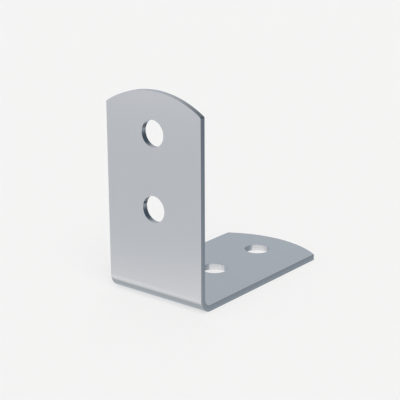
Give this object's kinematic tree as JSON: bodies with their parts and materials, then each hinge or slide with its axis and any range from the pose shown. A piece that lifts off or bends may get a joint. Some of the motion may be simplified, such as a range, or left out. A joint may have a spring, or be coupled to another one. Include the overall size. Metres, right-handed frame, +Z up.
{
  "type": "l bracket",
  "caption": "L bracket folded from sheet steel: equal legs at a right angle with a rounded fold, arched ends and plain round screw holes, for fastening parts at a corner.",
  "frame": {"origin": "centre of the bounding box's underside: on the base's underside, on the bracket's centreline, midway between the upright's outer face and the crown of the base's arch", "axes": "+Z up along the upright, +X from the upright towards the end of the base, Y across the strip"},
  "size_m": [0.04, 0.022, 0.04],
  "materials": {
    "plated_steel": "bright zinc plating on smooth rolled sheet, satin"
  },
  "bodies": {
    "root": {"bracket": "plated_steel"}
  },
  "joints": []
}
